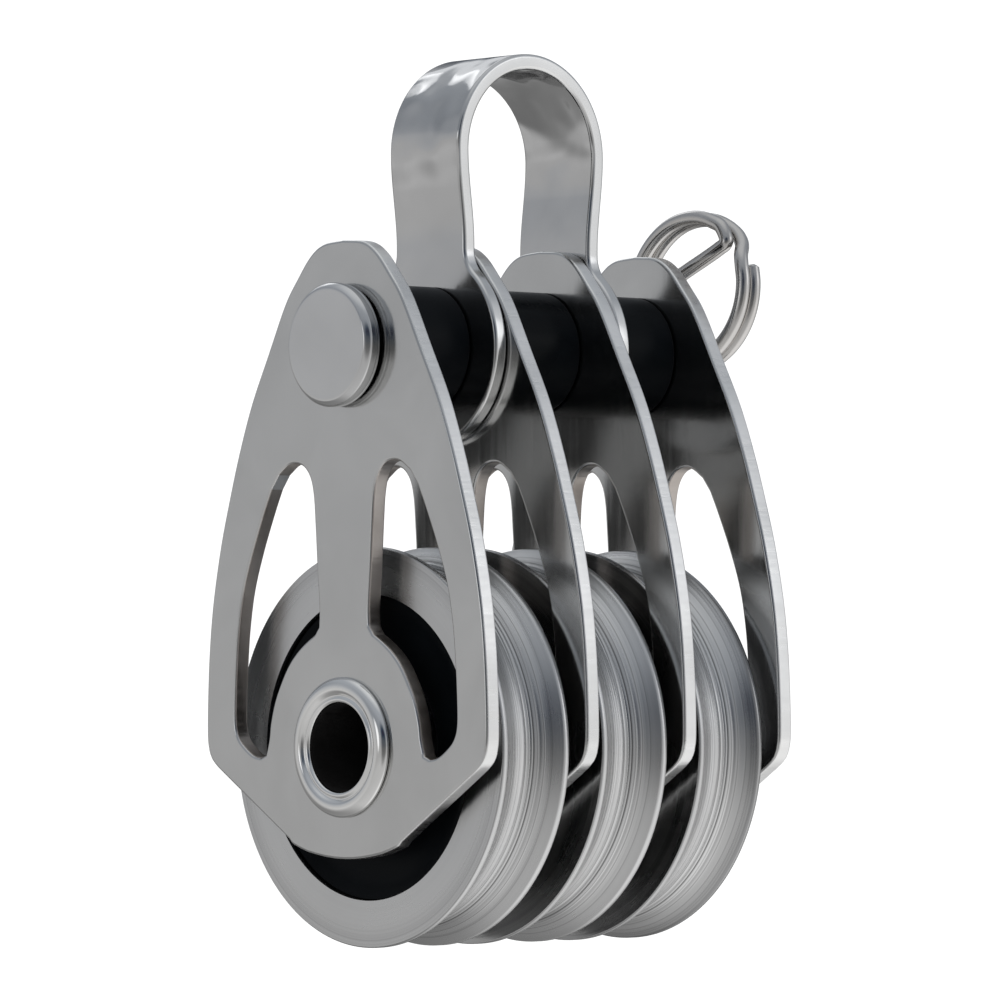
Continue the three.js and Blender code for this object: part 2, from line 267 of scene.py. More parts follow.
M_CHEEK = steel("cheek_polished", (0.60, 0.60, 0.595), 0.10, 0.19, grain=(1, 1, 0.06), grain_scale=3200, bump=0.035, wave=0.012, wave_scale=220)
# the punched slot walls are painted darker and warmer than the outer edges: painted shade inside the slots, over their
# own rough punched finish and blotches
M_SLOT_WALL_SHADE = steel("cheek_punched_wall_painted_shade", (0.50, 0.46, 0.43), 0.26, 0.46, grain=(0.1, 1, 1), grain_scale=3000, bump=1.0, blotch=0.14)
# the sheared edges are painted lighter than the faces: a painted highlight, over their own coarser grain and gloss
M_EDGE_HIGHLIGHT = steel("cheek_sheared_edge_painted_highlight", (0.80, 0.80, 0.795), 0.24, 0.42, grain=(0.15, 1, 1), grain_scale=3600, bump=0.6, blotch=0.08)
M_STRAP = steel("strap_polished", (0.60, 0.60, 0.60), 0.09, 0.18, grain=(1, 1, 0.05), grain_scale=3000, bump=0.04, wave=1.1, wave_scale=300, wave_above=-3.2)
# the strap's sheared edges are painted lighter than its faces: a painted highlight, over their own grain and gloss
M_STRAP_EDGE_HIGHLIGHT = steel("strap_sheared_edge_painted_highlight", (0.72, 0.72, 0.715), 0.14, 0.24, grain=(0.6, 1, 0.6), grain_scale=3000, bump=0.12, blotch=0.05)
M_PIN = steel("pin_polished", (0.66, 0.66, 0.66), 0.12, 0.2, grain=(1, 1, 1), grain_scale=2600, bump=0.03)
M_RIVET = steel("rivet_polished", (0.84, 0.835, 0.825), 0.05, 0.11, grain=(1, 1, 1), grain_scale=2400, bump=0.05)
# the bore's near-black colour is painted shade for the dark inside of the tube; its roughness is its own
M_BORE_SHADE = steel("rivet_bore_rough_painted_shade", (0.045, 0.043, 0.042), 0.55, 0.8, bump=0.3)
M_RACE = turned_metal("race_ground", 0.60, 0.22, 0.34, 0.12)
M_WIRE = steel("ring_drawn_wire", (0.60, 0.59, 0.58), 0.12, 0.24, grain=(1, 1, 1), grain_scale=2400, bump=0.05, warm=0.01)
M_RIM = turned_metal("rim_turned", 0.60, 0.2, 0.36, 0.6, deep=0.35,
                     scores=[(-0.48, 0.7, 0.012), (-0.1, 0.6, 0.012), (0.12, 0.3, 0.014), (0.22, 0.55, 0.01), (0.36, 0.22, 0.015), (0.46, 0.6, 0.01), (0.62, 0.5, 0.012), (0.8, 0.7, 0.01)])
M_BALL = steel("ball_polished", (0.72, 0.72, 0.72), 0.05, 0.12, grain=(1, 1, 1), grain_scale=2000, bump=0.01)
M_HUB = polymer("hub_black_moulded", 0.003, 0.3, 0.46, 0.12)
M_SPACER = polymer("spacer_black_tube", 0.003, 0.22, 0.36, 0.08, scale=1800, turned=True)


# ------------------------------------------------------------------ mesh helpers
def finish_mesh(me, sharp=32):
    bm = bmesh.new()
    bm.from_mesh(me)
    bmesh.ops.remove_doubles(bm, verts=bm.verts, dist=2e-6)
    bmesh.ops.dissolve_degenerate(bm, edges=bm.edges, dist=1e-7)
    loose = [v for v in bm.verts if not v.link_faces]
    if loose:
        bmesh.ops.delete(bm, geom=loose, context="VERTS")
    bmesh.ops.recalc_face_normals(bm, faces=bm.faces)
    if bm.calc_volume(signed=True) < 0:
        bmesh.ops.reverse_faces(bm, faces=bm.faces)
    for f in bm.faces:
        f.smooth = True
    bm.to_mesh(me)
    bm.free()
    me.set_sharp_from_angle(angle=math.radians(sharp))
    me.update()


def new_object(name, me, mats):
    for m in mats:
        me.materials.append(m)
    o = bpy.data.objects.new(name, me)
    bpy.context.scene.collection.objects.link(o)
    return o


def mesh_from(name, verts, faces):
    me = bpy.data.meshes.new(name)
    me.from_pydata([tuple(c * MM for c in v) for v in verts], [], faces)
    return me


def fillet(profile, radii, steps=4):
    """Rounds the corners of a closed [axial, radius] profile."""
    out = []
    n = len(profile)
    for i, p in enumerate(profile):
        r = radii[i] if isinstance(radii, (list, tuple)) else radii
        if r <= 0:
            out.append(p)
            continue
        a, b, c = Vector(profile[i - 1]), Vector(p), Vector(profile[(i + 1) % n])
        u, v = (a - b), (c - b)
        lu, lv = u.length, v.length
        u.normalize()
        v.normalize()
        cosang = max(-1.0, min(1.0, u.dot(v)))
        ang = math.acos(cosang)
        if ang > math.pi - 0.02:
            out.append(p)
            continue
        d = min(r / math.tan(ang / 2), lu * 0.49, lv * 0.49)
        s, e = b + u * d, b + v * d
        for k in range(steps + 1):
            t = k / steps
            q = s * (1 - t) ** 2 + b * 2 * t * (1 - t) + e * t ** 2
            out.append((q.x, q.y))
    return out


def lathe(name, profile, seg, x, z, mats, sharp=32):
    """A closed [axial, radius] profile turned about X."""
    verts, faces = [], []
    n = len(profile)
    for i in range(seg):
        a = 2 * math.pi * i / seg
        ca, sa = math.cos(a), math.sin(a)
        for px, pr in profile:
            verts.append((x + px, pr * ca, z + pr * sa))
    for i in range(seg):
        j = (i + 1) % seg
        for k in range(n):
            m = (k + 1) % n
            faces.append((i * n + k, i * n + m, j * n + m, j * n + k))
    me = mesh_from(name, verts, faces)
    finish_mesh(me, sharp)
    return weighted(new_object(name, me, mats))


def spline(points, per):
    """Catmull-Rom through 2-D points."""
    out = []
    n = len(points)
    for i in range(n - 1):
        p0 = Vector(points[max(i - 1, 0)])
        p1, p2 = Vector(points[i]), Vector(points[i + 1])
        p3 = Vector(points[min(i + 2, n - 1)])
        if i == 0:
            p0 = p1 * 2 - p2
        if i == n - 2:
            p3 = p2 * 2 - p1
        for k in range(per):
            t = k / per
            q = 0.5 * ((2 * p1) + (p2 - p0) * t + (2 * p0 - 5 * p1 + 4 * p2 - p3) * t * t
                       + (3 * p1 - p0 - 3 * p2 + p3) * t ** 3)
            out.append((q.x, q.y))
    out.append(tuple(points[-1]))
    return out


def circle(cy, cz, r, n):
    return [(cy + r * math.cos(2 * math.pi * i / n), cz + r * math.sin(2 * math.pi * i / n)) for i in range(n)]


def mirrored(pts):
    return [(-a, b) for a, b in reversed(pts)]


def area2(pts):
    return sum(a[0] * b[1] - b[0] * a[1] for a, b in zip(pts, pts[1:] + pts[:1]))


def flat_plate(name, outline, holes, thick, bevel, rings=3):
    """A flat plate in X-Y with its thickness along Z, all its edges rounded, in millimetres."""
    cu = bpy.data.curves.new(name, "CURVE")
    cu.dimensions = "2D"
    cu.fill_mode = "BOTH"
    cu.extrude = thick / 2 - bevel
    cu.bevel_depth = bevel
    cu.bevel_resolution = rings
    cu.offset = -bevel
    for k, loop in enumerate([outline] + holes):
        pts = loop if (area2(loop) > 0) == (k == 0) else list(reversed(loop))
        sp = cu.splines.new("POLY")
        sp.points.add(len(pts) - 1)
        for i, (a, b) in enumerate(pts):
            sp.points[i].co = (a, b, 0, 1)
        sp.use_cyclic_u = True
    ob = bpy.data.objects.new(name + "_curve", cu)
    bpy.context.scene.collection.objects.link(ob)
    dg = bpy.context.evaluated_depsgraph_get()
    me = bpy.data.meshes.new_from_object(ob.evaluated_get(dg))
    me.name = name
    bpy.data.objects.remove(ob)
    bpy.data.curves.remove(cu)
    bm = bmesh.new()
    bm.from_mesh(me)
    bmesh.ops.remove_doubles(bm, verts=bm.verts, dist=2e-3)
    bm.to_mesh(me)
    bm.free()
    me.materials.clear()
    return me


def weighted(o):
    """Flat faces stay flat beside their rounded edges."""
    m = o.modifiers.new("weighted", "WEIGHTED_NORMAL")
    m.mode = "FACE_AREA"
    m.weight = 90
    m.keep_sharp = True
    return o


def plate_normals(me, axis):
    """One normal for each face corner of a flat plate: its two faces stay flat, its edges stay round."""
    flat = {}
    total = [Vector((0, 0, 0)) for _ in me.vertices]
    for p in me.polygons:
        is_flat = abs(p.normal[axis]) > 0.9995
        for v in p.vertices:
            if is_flat:
                n = Vector((0, 0, 0))
                n[axis] = 1.0 if p.normal[axis] > 0 else -1.0
                flat[v] = n
            else:
                total[v] += p.normal * p.area
    out = [None] * len(me.loops)
    for p in me.polygons:
        for li in p.loop_indices:
            v = me.loops[li].vertex_index
            n = flat.get(v)
            if n is None:
                n = total[v].normalized() if total[v].length > 0 else p.normal.copy()
                if n.dot(p.normal) < 0.75:
                    n = p.normal.copy()
            out[li] = n
    return out


def body(o, rides, replaced):
    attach(o, rides)
    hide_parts(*replaced)
    return o


def edge_faces(me, axis_of, limit=0.8, index=1):
    for p in me.polygons:
        if abs(axis_of(p)) < limit:
            p.material_index = index


# ------------------------------------------------------------------ cheeks
flank = spline([
    (10.42, -0.25), (10.54, 0.5), (10.52, 2.4), (10.38, 4.85), (10.08, 7.3), (9.5, 10.05), (8.85, 12.3),
    (8.03, 14.8), (7.03, 17.3), (5.75, 19.75), (4.45, 22.2), (3.5, 23.45), (2.5, 24.55), (1.5, 25.1), (0, 25.25)], 6)
foot = [(0, -5.55), (0.7, -5.53), (1.4, -5.47), (2.1, -5.37), (2.8, -5.24), (3.4, -5.06), (3.85, -4.9), (4.02, -4.8),
        (4.2, -4.62), (9.55, -1.2), (9.8, -1.03), (10.02, -0.85), (10.2, -0.67), (10.33, -0.46)]
half_outline = foot + flank
CHEEK = half_outline + mirrored(half_outline)[1:-1]
slot_hub = spline([(5.95, -0.4), (5.72, 0.4), (5.6, 1.2), (5.28, 2.25), (4.8, 3.2), (4.2, 4.1), (3.55, 4.75),
                   (2.85, 5.25), (2.2, 5.62)], 5)
slot_spoke = spline([(1.9, 6.0), (1.88, 7.0), (2.03, 9.0), (2.16, 11.0), (2.3, 12.6), (2.6, 13.55), (3.2, 14.1),
                     (4.1, 14.15), (4.95, 13.65)], 5)
slot_outer = spline([(5.5, 12.95), (6.1, 11.75), (6.95, 9.85), (7.65, 7.9), (8.02, 6.0), (8.2, 4.2), (8.3, 2.4),
                     (8.3, 1.1), (8.05, 0.4), (7.5, -0.1), (6.9, -0.45), (6.35, -0.56)], 5)
SLOT = slot_hub + slot_spoke + slot_outer

SLOT_EDGES = SLOT + mirrored(SLOT)
TO_PLATE = Matrix(((0, 0, 1, 0), (1, 0, 0, 0), (0, 1, 0, 0), (0, 0, 0, 1)))  # (y, z, x) to (x, y, z)


def cheek(node, x):
    me = flat_plate(node, CHEEK, [SLOT, mirrored(SLOT), circle(0, 0, 3.08, 72), circle(0, 20.0, PIN_HOLE_R, 48)], T, 0.16, 4)
    me.transform(Matrix.Scale(MM, 4) @ Matrix.Translation((x, 0, AXLE_Z)) @ TO_PLATE)
    finish_mesh(me, 180)
    o = new_object("v_" + node, me, [M_CHEEK, M_EDGE_HIGHLIGHT, M_SLOT_WALL_SHADE])
    # side faces away from the slots take material 1, whose lighter tone is a painted highlight
    for p in me.polygons:
        if abs(p.normal.x) < 0.5:
            y, z = p.center.y / MM, p.center.z / MM - AXLE_Z
            gap = min(math.hypot(y - a, z - b) for a, b in SLOT_EDGES)
            # slot walls take material 2, whose darker tone is painted shade
            p.material_index = 2 if gap < 0.35 else 1
    me.normals_split_custom_set(plate_normals(me, 0))
    return body(o, "block_frame", [node])


for node, x in zip(("cheek_outer_left", "cheek_inner_left", "cheek_inner_right", "cheek_outer_right"), CHEEK_X):
    cheek(node, x)

# ------------------------------------------------------------------ axle
face = 10.5 + 0.03
end = face + 0.5
half = [(end - 1.2, 2.2), (end - 0.5, 2.2), (end - 0.3, 2.21), (end - 0.2, 2.24), (end - 0.13, 2.3), (end - 0.1, 2.38), (end - 0.12, 2.46),
        (end - 0.19, 2.53), (end - 0.21, 2.58), (end - 0.18, 2.63), (end - 0.1, 2.7), (end - 0.04, 2.78), (end - 0.005, 2.88), (end, 2.98),
        (end - 0.02, 3.1), (end - 0.07, 3.22), (end - 0.14, 3.33), (end - 0.23, 3.42), (end - 0.33, 3.48), (end - 0.4, 3.5),
        (face + 0.04, 3.48), (face, 3.42), (face, 3.3), (face, 3.0)]
loop = half + [(-a, b) for a, b in reversed(half)]
axle = lathe("v_axle_tube", loop, 96, 0, AXLE_Z, [M_RIVET, M_BORE_SHADE], 60)
# faces inside the bore take material 1, the painted shade
for p in axle.data.polygons:
    c = p.center
    if math.hypot(c.y, c.z - AXLE_Z * MM) < 2.23 * MM and abs(c.x) < (end - 0.3) * MM:
        p.material_index = 1
body(axle, "block_frame", ["axle_tube"])

# ------------------------------------------------------------------ sheaves
# scored lines round the groove: place across it, depth, half width
LINES = [(-0.55, 0.02, 0.03), (-0.20, 0.02, 0.03), (0.08, 0.05, 0.03), (0.15, 0.03, 0.025), (0.28, 0.06, 0.035), (0.35, 0.03, 0.025),
         (0.52, 0.035, 0.03), (0.70, 0.02, 0.03)]



def rim_profile():
    w, lip, r0, rb = 2.25, 0.42, 10.0, 9.0
    pts = [(-w, 7.65), (-w, 9.93), (-w + 0.07, r0), (-w + lip - 0.08, r0)]
    n = 72
    for i in range(n + 1):
        s = -1 + 2 * i / n
        r = rb + (r0 - 0.06 - rb) * abs(s) ** 2.1
        fade = 1 - abs(s) ** 6                       # the lips keep their clean edges
        r += fade * (0.007 * math.sin(i * 2.3) + 0.006 * math.sin(i * 1.13 + 1.0) + 0.004 * math.sin(i * 0.47))
        for at, deep, half_w in LINES:
            r -= fade * deep * max(0.0, 1 - abs(s - at) / half_w)
        pts.append((s * (w - lip), r))
    pts += [(w - lip + 0.08, r0), (w - 0.07, r0), (w, 9.93), (w, 7.65)]
    return pts


def hub_profile():
    bore = 4.85 + 1.1905 + 0.06
    half = [(-1.95, 7.58), (-1.9, 7.4), (-1.68, 7.02), (-1.58, 6.68), (-1.56, 6.2), (-1.56, 4.5), (-1.5, 4.38), (-1.4, 4.35),
            (-1.32, 4.4), (-1.3, 5.62), (-1.0, 5.62), (-0.42, bore)]
    return half + [(-a, b) for a, b in reversed(half)]


def race_profile():
    w, bottom = GAP / 2 - 0.04, 4.85 - 1.1905 - 0.05
    return [(-w, 3.08), (-w, 4.1), (-1.0, 4.1), (-0.42, bottom), (0.42, bottom), (1.0, 4.1), (w, 4.1), (w, 3.08)]


def ball_mesh():
    bm = bmesh.new()
    bmesh.ops.create_icosphere(bm, subdivisions=3, radius=1.1905 * MM)
    me = bpy.data.meshes.new("ball_mesh")
    for f in bm.faces:
        f.smooth = True
    bm.to_mesh(me)
    bm.free()
    return me


BALL = ball_mesh()
BALL.materials.append(M_BALL)
for side, gx in zip(SIDES, GAP_X):
    rim = lathe("v_sheave_rim_" + side, rim_profile(), 160, gx, AXLE_Z, [M_RIM], 40)
    rim.data.set_sharp_from_angle(angle=math.radians(50))
    body(rim, "sheave_" + side, ["sheave_rim_" + side])
    hub = lathe("v_sheave_hub_" + side, hub_profile(), 120, gx, AXLE_Z, [M_HUB], 40)
    body(hub, "sheave_" + side, ["sheave_hub_" + side])
    race = lathe("v_inner_race_" + side, fillet(race_profile(), [0.03, 0.1, 0.05, 0.1, 0.1, 0.05, 0.1, 0.03], 3), 72, gx, AXLE_Z, [M_RACE], 40)
    body(race, "block_frame", ["inner_race_" + side])
    for i in range(12):
        a = 2 * math.pi * i / 12
        me = BALL.copy()
        me.transform(Matrix.Translation(Vector((gx, 4.85 * math.cos(a), AXLE_Z + 4.85 * math.sin(a))) * MM))
        name = "ball_%s_%02d" % (side, i + 1)
        o = bpy.data.objects.new("v_" + name, me)
        bpy.context.scene.collection.objects.link(o)
        body(o, "ball_set_" + side, [name])

# ------------------------------------------------------------------ head spacers
LEG_IN = 3.35 + 0.45 + 0.06
LEG_OUT = LEG_IN + 0.8
for k, side in enumerate(SIDES):
    f = GAP / 2 - 0.06
    lo = LEG_OUT + 0.06 if k == 2 else GAP_X[k] - f
    hi = -LEG_OUT - 0.06 if k == 0 else GAP_X[k] + f
    sp = lathe("v_head_spacer_" + side, fillet([(lo, PIN_HOLE_R), (lo, 3.12), (hi, 3.12), (hi, PIN_HOLE_R)], [0.05, 0.14, 0.14, 0.05], 4),
               96, 0, PIN_Z, [M_SPACER], 50)
    body(sp, "block_frame", ["head_spacer_" + side])


# ------------------------------------------------------------------ strap
def strap():
    arch_r, t, w, eye_r = 4.65, 0.8, 2.6, 4.9
    arch_z = -PIN_Z + t / 2 - arch_r
    leg_x = LEG_IN + t / 2
    way = [(leg_x, -5.2), (leg_x, 0.0), (leg_x, 5.2)]
    for i in range(1, 13):                      # the leg eases out to the crown's width
        q = i / 12
        way.append((leg_x + (arch_r - leg_x) * (3 * q * q - 2 * q ** 3), 5.2 + (arch_z - 5.2) * q))
    for i in range(1, 41):
        a = math.pi / 2 * i / 40
        way.append((arch_r * math.cos(a), arch_z + arch_r * math.sin(a)))
    way = way + [(-x, z) for x, z in reversed(way[:-1])]
    P = [Vector(p) for p in way]
    S = [0.0]
    for a, b in zip(P, P[1:]):
        S.append(S[-1] + (b - a).length)
    total = S[-1]
    # the blank, flat: along s with the eyes' centres at the pin
    c0 = 5.2
    fil = 1.6
    fz = math.sqrt((eye_r + fil) ** 2 - (w + fil) ** 2)
    touch = math.atan2(fz, w + fil)
    side = []
    for i in range(37):
        a = -math.pi / 2 + (touch + math.pi / 2) * i / 36
        side.append((eye_r * math.cos(a), c0 + eye_r * math.sin(a)))
    for i in range(1, 9):
        a = math.pi + touch - touch * i / 8
        side.append((w + fil + fil * math.cos(a), c0 + fz + fil * math.sin(a)))
    side.append((w, total / 2))
    right = side + [(a, total - b) for a, b in reversed(side[:-1])]
    outline = right + [(-a, b) for a, b in reversed(right[1:-1])]
    me = flat_plate("strap", outline, [circle(0, c0, PIN_HOLE_R, 48), circle(0, total - c0, PIN_HOLE_R, 48)], t, 0.2, 4)
    bm = bmesh.new()
    bm.from_mesh(me)
    cuts = [s for s in S[2:-2]]
    for s in cuts:
        bmesh.ops.bisect_plane(bm, geom=bm.verts[:] + bm.edges[:] + bm.faces[:], plane_co=(0, s, 0), plane_no=(0, 1, 0), dist=1e-5)
    for y in (-1.3, 0.0, 1.3):
        bmesh.ops.bisect_plane(bm, geom=bm.verts[:] + bm.edges[:] + bm.faces[:], plane_co=(y, 0, 0), plane_no=(1, 0, 0), dist=1e-5)
    bmesh.ops.remove_doubles(bm, verts=bm.verts, dist=1e-3)
    bmesh.ops.recalc_face_normals(bm, faces=bm.faces)
    if bm.calc_volume(signed=True) < 0:
        bmesh.ops.reverse_faces(bm, faces=bm.faces)
    for f in bm.faces:
        f.smooth = True
    bm.to_mesh(me)
    bm.free()
    normals = plate_normals(me, 2)
    is_edge = [abs(p.normal.z) < 0.5 for p in me.polygons]
    frames = []
    for v in me.vertices:
        y, s, n = v.co
        i = 0
        while i < len(S) - 2 and s > S[i + 1] + 1e-6:
            i += 1
        q = (s - S[i]) / (S[i + 1] - S[i])
        p = P[i].lerp(P[i + 1], q)

        def tangent(k):
            a, b = P[max(k - 1, 0)], P[min(k + 1, len(P) - 1)]
            return (b - a).normalized()
        d = tangent(i).lerp(tangent(i + 1), min(max(q, 0), 1)).normalized()
        out = Vector((d.y, -d.x))
        r = p + out * n
        v.co = (r.x * MM, y * MM, (r.y + PIN_Z) * MM)
        frames.append((d, out))
    # across stays along Y, the run follows the bend, the thickness follows its normal
    bent = []
    for k, loop in enumerate(me.loops):
        d, out = frames[loop.vertex_index]
        ny, ns, nn = normals[k]
        bent.append(Vector((d.x * ns + out.x * nn, ny, d.y * ns + out.y * nn)).normalized())
    o = new_object("v_strap", me, [M_STRAP, M_STRAP_EDGE_HIGHLIGHT])
    # edge faces take material 1, whose lighter tone is a painted highlight
    for p, e in zip(me.polygons, is_edge):
        p.material_index = 1 if e else 0
    me.update()
    facing = sum(p.normal.dot(bent[p.loop_start]) * p.area for p in me.polygons)
    if facing < 0:
        me.flip_normals()
        bent = None
    if bent:
        me.normals_split_custom_set(bent)
    return body(o, "strap", ["strap"])


strap()


# ------------------------------------------------------------------ clevis pin
def boolean_cut(o, cutter):
    o.modifiers.clear()
    m = o.modifiers.new("cut", "BOOLEAN")
    m.operation = "DIFFERENCE"
    m.solver = "EXACT"
    m.object = cutter
    dg = bpy.context.evaluated_depsgraph_get()
    me = bpy.data.meshes.new_from_object(o.evaluated_get(dg))
    o.modifiers.clear()
    weighted(o)
    old = o.data
    o.data = me
    bpy.data.meshes.remove(old)
    bpy.data.objects.remove(cutter)


def clevis_pin():
    h, o_ = -10.65, -11.6
    tip = 13.5
    prof = [(o_, 0.0), (o_, 2.7), (o_, 2.8), (o_ + 0.03, 2.86), (o_ + 0.2, 3.03), (o_ + 0.28, 3.08), (o_ + 0.36, 3.1), (h - 0.36, 3.1),
            (h - 0.3, 3.09), (h - 0.26, 3.0), (h - 0.22, 3.0), (h - 0.18, 3.07), (h - 0.1, 3.07), (h - 0.03, 3.0), (h, 2.9), (h, 2.8),
            (h, 2.05), (h + 0.06, 2.0), (h + 0.12, 2.0), (tip - 0.42, 2.0), (tip - 0.36, 1.99), (tip - 0.3, 1.94), (tip - 0.06, 1.7),
            (tip - 0.02, 1.64), (tip, 1.58), (tip, 1.5), (tip, 0.0)]
    seg = 96
    verts, faces = [], []
    rings = prof[1:-1]
    n = len(rings)
    for i in range(seg):
        a = 2 * math.pi * i / seg
        for px, pr in rings:
            verts.append((px, pr * math.cos(a), PIN_Z + pr * math.sin(a)))
    for i in range(seg):
        j = (i + 1) % seg
        for k in range(n - 1):
            faces.append((i * n + k, i * n + k + 1, j * n + k + 1, j * n + k))
    verts.append((prof[0][0], 0, PIN_Z))
    verts.append((prof[-1][0], 0, PIN_Z))
    for i in range(seg):
        j = (i + 1) % seg
        faces.append((len(verts) - 2, i * n, j * n))
        faces.append((len(verts) - 1, j * n + n - 1, i * n + n - 1))
    me = mesh_from("clevis_pin", verts, faces)
    finish_mesh(me, 40)
    o = new_object("v_clevis_pin", me, [M_PIN])
    weighted(o)
    bm = bmesh.new()
    bmesh.ops.create_cone(bm, cap_ends=True, segments=48, radius1=1.16 * MM, radius2=1.16 * MM, depth=6 * MM)
    cm = bpy.data.meshes.new("drill")
    bm.to_mesh(cm)
    bm.free()
    hy, hz = math.cos(math.radians(25)), math.sin(math.radians(25))
    cm.transform(Matrix.Translation((11.95 * MM, 0, PIN_Z * MM)) @ Vector((0, hy, hz)).to_track_quat("Z", "Y").to_matrix().to_4x4())
    cutter = new_object("drill", cm, [M_PIN])
    boolean_cut(o, cutter)
    finish_mesh(o.data, 40)
    return body(o, "clevis_pin", ["clevis_pin"])


clevis_pin()


# ------------------------------------------------------------------ split ring
def catmull3(points, per):
    out = []
    n = len(points)
    for i in range(n - 1):
        p1, p2 = points[i], points[i + 1]
        p0 = points[i - 1] if i else p1 * 2 - p2
        p3 = points[i + 2] if i + 2 < n else p2 * 2 - p1
        for k in range(per):
            t = k / per
            out.append(0.5 * ((2 * p1) + (p2 - p0) * t + (2 * p0 - 5 * p1 + 4 * p2 - p3) * t * t + (3 * p1 - p0 - 3 * p2 + p3) * t ** 3))
    out.append(points[-1])
    return out


def split_ring():
    wire, R, step, sag = 0.37, 3.85, 0.8, 0.02
    pts = [Vector((-step / 2, y, z)) for y, z in ((1.65, -0.4), (1.1, 0.28), (0.42, 1.12), (-0.35, 2.05), (-0.92, 2.78), (-1.2, 3.3))]
    s = 17
    while s <= 697:
        q = min(max((s - 339) / 27, 0), 1)
        jog = q * q * (3 - 2 * q) - 0.5
        a = math.radians(114.6 - s)
        pts.append(Vector((jog * step, R * math.cos(a), R * math.sin(a))))
        s += 10
    m = Matrix.Rotation(math.radians(25), 3, "X") @ Matrix.Rotation(math.radians(6), 3, "Y")
    pts = [m @ (p + Vector((0, 0, R - sag))) + Vector((11.95, 0, PIN_Z)) for p in pts]
    line = catmull3(pts, 5)
    # sweep a round section, its ends rounded over
    sides = 18
    tang = []
    for i in range(len(line)):
        tang.append((line[min(i + 1, len(line) - 1)] - line[max(i - 1, 0)]).normalized())
    up = Vector((1, 0, 0))
    up = (up - tang[0] * up.dot(tang[0])).normalized()
    rings = []
    start = [(0.0, -0.3), (0.45, -0.22), (0.8, -0.1), (1.0, 0.0)]
    for frac, back in start[1:]:
        rings.append((line[0] + tang[0] * back * 0.8, tang[0], up.copy(), wire * frac * 0.98))
    cur = up.copy()
    for i in range(len(line)):
        cur = (cur - tang[i] * cur.dot(tang[i])).normalized()
        rings.append((line[i], tang[i], cur.copy(), wire))
    for frac, back in reversed(start[1:]):
        rings.append((line[-1] - tang[-1] * back * 0.8, tang[-1], cur.copy(), wire * frac * 0.98))
    verts, faces = [], []
    for c, t, u, r in rings:
        v = t.cross(u)
        for k in range(sides):
            a = 2 * math.pi * k / sides
            verts.append(tuple(c + (u * math.cos(a) + v * math.sin(a)) * r))
    for i in range(len(rings) - 1):
        for k in range(sides):
            m2 = (k + 1) % sides
            faces.append((i * sides + k, i * sides + m2, (i + 1) * sides + m2, (i + 1) * sides + k))
    faces.append(tuple(range(sides)))
    faces.append(tuple((len(rings) - 1) * sides + k for k in reversed(range(sides))))
    me = mesh_from("split_ring", verts, faces)
    finish_mesh(me, 45)
    o = new_object("v_split_ring", me, [M_WIRE])
    return body(o, "split_ring", ["split_ring"])


split_ring()

# ------------------------------------------------------------------ floor, light, camera
SOFTBOXES = [                     # azimuth, elevation, inner and outer radius, gain
    (-47, 12, 10, 40, 0.38),      # right front: the plates' edges
    (-52, 18, 6, 13, 0.55),       # its bright core
    (132, 2, 12, 34, 0.12),       # left back: the near faces
    (62, 34, 10, 19, 0.55),       # behind and above: the crown of the strap
    (176, 8, 5, 13, 0.75),        # left: the rounded corners of the near edges
    (-131, 4, 14, 32, -0.28),     # the camera's side stays dark
    (47, -6, 8, 26, -0.42),       # behind the block stays dark
    (-40, -48, 15, 55, 0.45),     # low front: the bottoms of the grooves
    (90, -40, 12, 48, -0.30),     # low back stays dark
]
floor_mesh = bpy.data.meshes.new("floor")
floor_mesh.from_pydata([(0.55 * math.cos(math.pi * i / 32), 0.55 * math.sin(math.pi * i / 32), 0) for i in range(64)], [], [tuple(range(64))])
m_floor, nt, bs = nodes_of("floor_pale")
col = ramp(nt, noise(nt, coords(nt, (1, 1, 1)), 3, 2.0), [(0.3, grey(0.86)), (0.7, grey(0.9))])
nt.links.new(col.outputs["Color"], bs.inputs["Base Color"])
bs.inputs["Roughness"].default_value = 0.9
floor = new_object("floor", floor_mesh, [m_floor])
floor.location = (0, 0, -0.12)
floor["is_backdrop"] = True
floor.visible_glossy = False

scene = bpy.context.scene
world = bpy.data.worlds.new("studio")
scene.world = world
world.use_nodes = True
wn = world.node_tree
for n in list(wn.nodes):
    wn.nodes.remove(n)
out = wn.nodes.new("ShaderNodeOutputWorld")
tc = wn.nodes.new("ShaderNodeTexCoord")
direction = tc.outputs["Generated"]
sep = wn.nodes.new("ShaderNodeSeparateXYZ")
wn.links.new(direction, sep.inputs["Vector"])
up_down = add(wn, "ShaderNodeMath", operation="MULTIPLY_ADD")
up_down.inputs[1].default_value = 0.5
up_down.inputs[2].default_value = 0.5
wn.links.new(sep.outputs["Z"], up_down.inputs[0])
base = ramp(wn, up_down.outputs["Value"], [(0.0, (0.60, 0.60, 0.60, 1)), (0.34, (0.52, 0.52, 0.52, 1)), (0.47, (0.42, 0.42, 0.42, 1)),
                                           (0.55, (0.37, 0.38, 0.395, 1)), (0.68, (0.27, 0.29, 0.32, 1)), (0.85, (0.36, 0.385, 0.42, 1)),
                                           (1.0, (0.66, 0.68, 0.70, 1))], "EASE")


